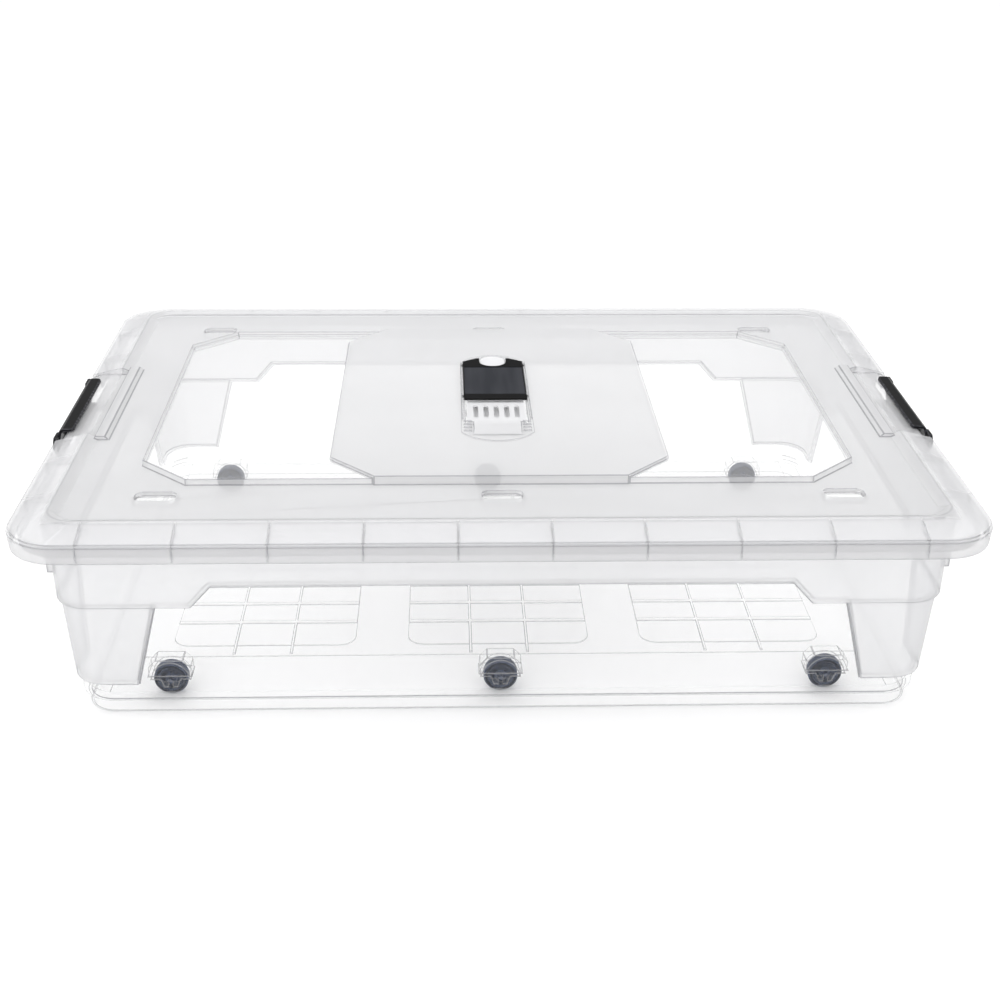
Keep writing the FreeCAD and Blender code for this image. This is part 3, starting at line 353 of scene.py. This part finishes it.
def tub_look(n):
    """The band and the corner blocks are frosted, the windows, the base and the floor polished."""
    outside = outside_windows(n)
    above_base = n.ramp(n.z, WINDOW_FOOT_Z - 0.5 * MM, WINDOW_FOOT_Z + 0.5 * MM)
    frosted = n.product(n.ramp(outside, -0.3 * MM, 0.3 * MM), above_base)
    inside = n.product(n.below(n.across, FLOOR_HALF_X), n.below(n.along, FLOOR_HALF_Y))

    step = n.math("SUBTRACT", n.z, STEP_Z - 0.2 * MM)
    lines = n.largest(n.line(outside, 0.4 * MM, 1.1 * MM, 1.0),
                      n.product(n.line(step, 0.3 * MM, 1.0 * MM, 0.8), frosted))
    rear = n.ramp(n.y, 0.0, 200.0 * MM, 1.0, 0.55)
    lines = n.product(lines, above_base, n.math("SUBTRACT", 1.0, inside), rear)

    floor_relief = n.product(inside, n.below(n.z, FLOOR_TOP_Z))
    housing = n.product(n.below(from_column(n), HOUSING_HALF_X), n.below(from_row(n), HOUSING_HALF_Y))
    edges = n.mix(n.below(n.z, FOOT_TOP_Z), n.mix(floor_relief, 0.85, 0.60), 0.50)
    edges = n.largest(edges, n.product(housing, 0.6))
    edges = n.product(n.mix(n.ramp(n.z, BAND_FOOT_Z, BAND_FULL_Z), edges, 0.45), rear)

    half = tiered(n, WALL_HALF_LOW, WALL_HALF_HIGH, WALL_TOP_Z)
    beyond_wall = n.beyond_rounded(half, n.math("SUBTRACT", half, SHORT_WALL_DIFFERENCE), WALL_CORNER)
    # Painted shade: the outer faces darken towards the floor.
    outer_tone_painted_shade = n.ramp(n.z, 35.0 * MM, 150.0 * MM, 0.58, 0.64)
    # Painted light: the faces inside the wall are paler than the outer ones, for the light that shines
    # through the plastic from behind.
    tone = n.mix(n.below(beyond_wall, 0.0), outer_tone_painted_shade, 0.90)
    return frosted, n.mix(frosted, 0.012, 0.50), n.mix(frosted, 0.95, tone), edges, lines


# The vent: its pan, the thumb pad at its front and the oval finger dish at its rear.
PAN_HALF_X, PAN_HALF_Y = 27.5 * MM, 72.5 * MM
PAD_HALF_X, PAD_HALF_Y, PAD_Y = 21.5 * MM, 15.5 * MM, -88.0 * MM
DISH_Y, DISH_STRAIGHT_HALF, DISH_REACH = 84.5 * MM, 4.5 * MM, 12.6 * MM
COVER_HALF_X, COVER_HALF_Y, COVER_Y = 28.8 * MM, 36.5 * MM, 27.5 * MM


def vent_look(n):
    """The pan, the thumb pad and the finger dish are milky, the flange around them polished."""
    pan = n.product(n.below(n.across, PAN_HALF_X), n.below(n.along, PAN_HALF_Y))
    pad = n.product(n.below(n.across, PAD_HALF_X), n.below(n.apart(n.y, PAD_Y), PAD_HALF_Y))
    past_y = n.largest(n.math("SUBTRACT", n.apart(n.y, DISH_Y), DISH_STRAIGHT_HALF), 0.0)
    reach = n.math("SQRT", n.math("ADD", n.product(n.x, n.x), n.math("POWER", past_y, 2.0)))
    dish = n.below(reach, DISH_REACH)
    milky = n.largest(pan, pad, dish)
    tone = n.mix(milky, 0.95, n.mix(dish, 0.80, 0.95))
    return milky, n.mix(milky, 0.10, 0.62), tone, n.mix(milky, 0.45, 0.5), None


# ---------------------------------------------------------------- dark plastics


def black_plastic(name, gloss, shine, sunk_field=None, tone=1.0):
    """Satin black plastic; sunk_field(nodes), when given, is 1 on a polished field."""
    n = Nodes(name)
    wear = n.ramp(n.noise(160.0, 3.0), 0.4, 0.7)
    roughness = n.mix(wear, gloss, gloss + 0.08)
    tint = n.colour(wear, (0.003 * tone, 0.003 * tone, 0.0035 * tone),
                    (0.007 * tone, 0.007 * tone, 0.008 * tone))
    if sunk_field:
        field = sunk_field(n)
        drawn = n.ramp(n.noise(60.0, 2.0, (1.0, 0.12, 1.0)), 0.35, 0.65)
        roughness = n.mix(field, roughness, 0.15)
        tint = n.colour(field, tint, n.colour(drawn, (0.024, 0.026, 0.032), (0.038, 0.040, 0.047)))
    n.join(tint, n.shader.inputs["Base Color"])
    n.join(roughness, n.shader.inputs["Roughness"])
    n.bump(n.noise(1400.0, 1.0), 0.08, 0.15 * MM)
    plain(n, IOR=1.3, Specular_IOR_Level=shine)
    return n.material


def cover_field(n):
    """The sunk field of the vent cover."""
    return n.product(n.below(n.across, COVER_HALF_X), n.below(n.apart(n.y, COVER_Y), COVER_HALF_Y))


def wheel_plastic():
    """Slate blue plastic with the scuffs of use."""
    n = Nodes("wheel_plastic_dark")
    wear = n.ramp(n.noise(220.0, 4.0), 0.35, 0.7)
    n.join(n.colour(wear, (0.034, 0.046, 0.080), (0.066, 0.082, 0.130)), n.shader.inputs["Base Color"])
    n.join(n.mix(wear, 0.35, 0.5), n.shader.inputs["Roughness"])
    n.bump(n.noise(1100.0, 2.0), 0.1, 0.15 * MM)
    plain(n, IOR=1.4, Specular_IOR_Level=0.3)
    return n.material


# ---------------------------------------------------------------- pieces

ROUNDED_EDGE = 1        # the material index of the rounded edges
SHARP = math.radians(32)        # edges that turn further than this are rounded
EDGE_ROOM = 0.45        # the share of a narrow face that its rounded edges may take on a side
EDGE_STEP = math.radians(75)    # a rounded edge turns less than this from the faces beside it
# Faces shade as one curved surface where they turn less than this between them.
SMALL_FACE = 30.0 * MM * MM
SMALL_STEP, FLAT_STEP = math.radians(27), math.radians(12.5)


def strip_width(face):
    """How wide a long narrow face is."""
    return 2.0 * face.calc_area() / face.calc_perimeter()


def flat_areas(mesh):
    """For each triangle or quad, the area of the whole flat face that it is a part of."""
    planes = [(*(round(part, 2) for part in face.normal), round(face.normal.dot(face.center) / MM, 1))
              for face in mesh.polygons]
    total = dict.fromkeys(planes, 0.0)
    for plane, face in zip(planes, mesh.polygons):
        total[plane] += face.area
    return [total[plane] for plane in planes]


def shade_flat_faces(mesh):
    """Keep flat faces flat, curved ones smooth, and let the rounded edges turn between them."""
    around = [[] for vertex in mesh.vertices]
    faces = [(face.normal.copy(), area, face.material_index == ROUNDED_EDGE)
             for face, area in zip(mesh.polygons, flat_areas(mesh))]
    for face in mesh.polygons:
        for vertex in face.vertices:
            around[vertex].append(faces[face.index])
    normals = []
    for face in mesh.polygons:
        own, area, on_edge = faces[face.index]
        nearness = math.cos(EDGE_STEP if on_edge else SMALL_STEP if area < SMALL_FACE else FLAT_STEP)
        for vertex in face.vertices:
            near = [other for other in around[vertex] if not other[2] and other[0].dot(own) > nearness]
            if not near:
                normals.append(own)
            elif on_edge:
                normals.append(max(near, key=lambda other: other[1])[0])
            else:
                normals.append(sum((other[0] * other[1] ** 2 for other in near), Vector()).normalized())
    mesh.normals_split_custom_set(normals)


def rounded(node, body, width, materials):
    """A CAD node's own shape with its sharp edges rounded; the rounded edges take the second material."""
    mesh = frame["nodes"][node].data.copy()
    mesh.materials.clear()
    for material in materials:
        mesh.materials.append(material)
    work = bmesh.new()
    work.from_mesh(mesh)
    bmesh.ops.remove_doubles(work, verts=work.verts, dist=1e-6)
    bmesh.ops.dissolve_limit(work, angle_limit=math.radians(0.6), verts=work.verts, edges=work.edges)
    for face in work.faces:
        face.smooth = True
        face.material_index = 0
    weights = work.edges.layers.float.new("bevel_weight_edge")
    for edge in work.edges:
        if edge.calc_face_angle(0.0) > SHARP:
            room = EDGE_ROOM * min(strip_width(face) for face in edge.link_faces)
            edge[weights] = min(1.0, room / width)
    bmesh.ops.triangulate(work, faces=[face for face in work.faces if len(face.verts) > 4])
    work.to_mesh(mesh)
    work.free()
    piece = bpy.data.objects.new(node + "_shape", mesh)
    scene.collection.objects.link(piece)
    bevel = piece.modifiers.new("rounded_edges", "BEVEL")
    bevel.width = width
    bevel.segments = 2
    bevel.limit_method = "WEIGHT"
    bevel.material = ROUNDED_EDGE
    bevel.use_clamp_overlap = False
    bpy.context.view_layer.update()
    finished = bpy.data.meshes.new_from_object(piece.evaluated_get(bpy.context.evaluated_depsgraph_get()))
    piece.modifiers.clear()
    piece.data = finished
    shade_flat_faces(finished)
    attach(piece, body)
    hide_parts(node)
    return piece


lid_plastic = clear_plastic("lid_plastic", lid_look)
lid_edge = clear_plastic("lid_edge_plastic", lid_look, edge=True)
tub_plastic = clear_plastic("tub_plastic", tub_look)
tub_edge = clear_plastic("tub_edge_plastic", tub_look, edge=True)
vent_plastic = clear_plastic("vent_plastic", vent_look)
vent_edge = clear_plastic("vent_edge_plastic", vent_look, edge=True)
clip_black = black_plastic("clip_plastic_black", 0.30, 0.30)
# Painted highlight: the clips' rounded edges are a lighter, glossier grey, for the light that they catch.
clip_painted_highlight = black_plastic("clip_painted_highlight_plastic", 0.24, 0.45, tone=8.0)
cover_black = black_plastic("cover_plastic_black", 0.3, 0.12, cover_field)
wheel_dark = wheel_plastic()

rounded("tub", "tub", 0.9 * MM, [tub_plastic, tub_edge])
rounded("lid", "lid", 0.9 * MM, [lid_plastic, lid_edge])
rounded("vent_housing", "lid", 0.45 * MM, [vent_plastic, vent_edge])
rounded("vent_cover", "vent_cover", 0.25 * MM, [cover_black, cover_black])
for clip in ("clip_left", "clip_right"):
    rounded(clip, clip, 0.8 * MM, [clip_black, clip_painted_highlight])
for wheel in frame["bodies"]:
    if wheel.startswith("wheel"):
        rounded(wheel, wheel, 0.4 * MM, [wheel_dark, wheel_dark])

# ---------------------------------------------------------------- floor, light and camera

FLOOR_SIZE = 12.0
BOX_MIDDLE = (0.0, 0.0, 0.1)


def floor():
    n = Nodes("floor_white")
    speckle = n.noise(3.0, 2.0)
    n.join(n.colour(speckle, (0.93, 0.93, 0.93), (0.95, 0.95, 0.95)), n.shader.inputs["Base Color"])
    plain(n, Roughness=0.9)
    mesh = bpy.data.meshes.new("floor")
    corners = [(x * FLOOR_SIZE, y * FLOOR_SIZE, 0.0) for x, y in ((-1, -1), (1, -1), (1, 1), (-1, 1))]
    mesh.from_pydata(corners, [], [(0, 1, 2, 3)])
    mesh.materials.append(n.material)
    piece = bpy.data.objects.new("floor", mesh)
    scene.collection.objects.link(piece)


def area_light(name, place, target, size, power):
    data = bpy.data.lights.new(name, "AREA")
    data.shape = "RECTANGLE"
    data.size, data.size_y = size
    data.energy = power
    lamp = bpy.data.objects.new(name, data)
    lamp.location = place
    lamp.rotation_euler = (Vector(target) - Vector(place)).to_track_quat("-Z", "Y").to_euler()
    scene.collection.objects.link(lamp)


def studio_world(light, reflected):
    """An even white surround, dimmer where it shows in reflections."""
    world = bpy.data.worlds.new("studio")
    world.use_nodes = True
    nodes, links = world.node_tree.nodes, world.node_tree.links
    strength = nodes.new("ShaderNodeMapRange")
    links.new(nodes.new("ShaderNodeLightPath").outputs["Is Glossy Ray"], strength.inputs["Value"])
    strength.inputs["To Min"].default_value = light
    strength.inputs["To Max"].default_value = reflected
    nodes["Background"].inputs["Color"].default_value = (1.0, 1.0, 1.0, 1.0)
    links.new(strength.outputs[0], nodes["Background"].inputs["Strength"])
    scene.world = world


floor()
studio_world(1.15, 0.35)
area_light("key", (-1.6, -0.6, 2.4), BOX_MIDDLE, (2.0, 2.0), 8.0)
area_light("front", (-0.5, -2.6, 0.7), BOX_MIDDLE, (3.0, 1.2), 14.0)
area_light("back", (0.1, 1.0, 1.5), (0.0, 0.1, 0.1), (2.4, 0.5), 7.0)
scene.view_settings.view_transform = "Standard"
scene.cycles.transparent_max_bounces = 48

CAMERA_PLACE = (-0.0468, -1.3829, 0.7359)
CAMERA_YAW, CAMERA_PITCH, CAMERA_ROLL = 2.19, 25.19, 0.63
lens = bpy.data.cameras.new("camera")
lens.sensor_width = 36.0
lens.lens = 55.8
lens.clip_start = 0.01
camera = bpy.data.objects.new("camera", lens)
turn = Matrix.Rotation(math.radians(-CAMERA_YAW), 4, "Z")
turn = turn @ Matrix.Rotation(math.radians(90.0 - CAMERA_PITCH), 4, "X")
turn = turn @ Matrix.Rotation(math.radians(CAMERA_ROLL), 4, "Z")
camera.matrix_world = Matrix.Translation(CAMERA_PLACE) @ turn
scene.collection.objects.link(camera)
scene.camera = camera
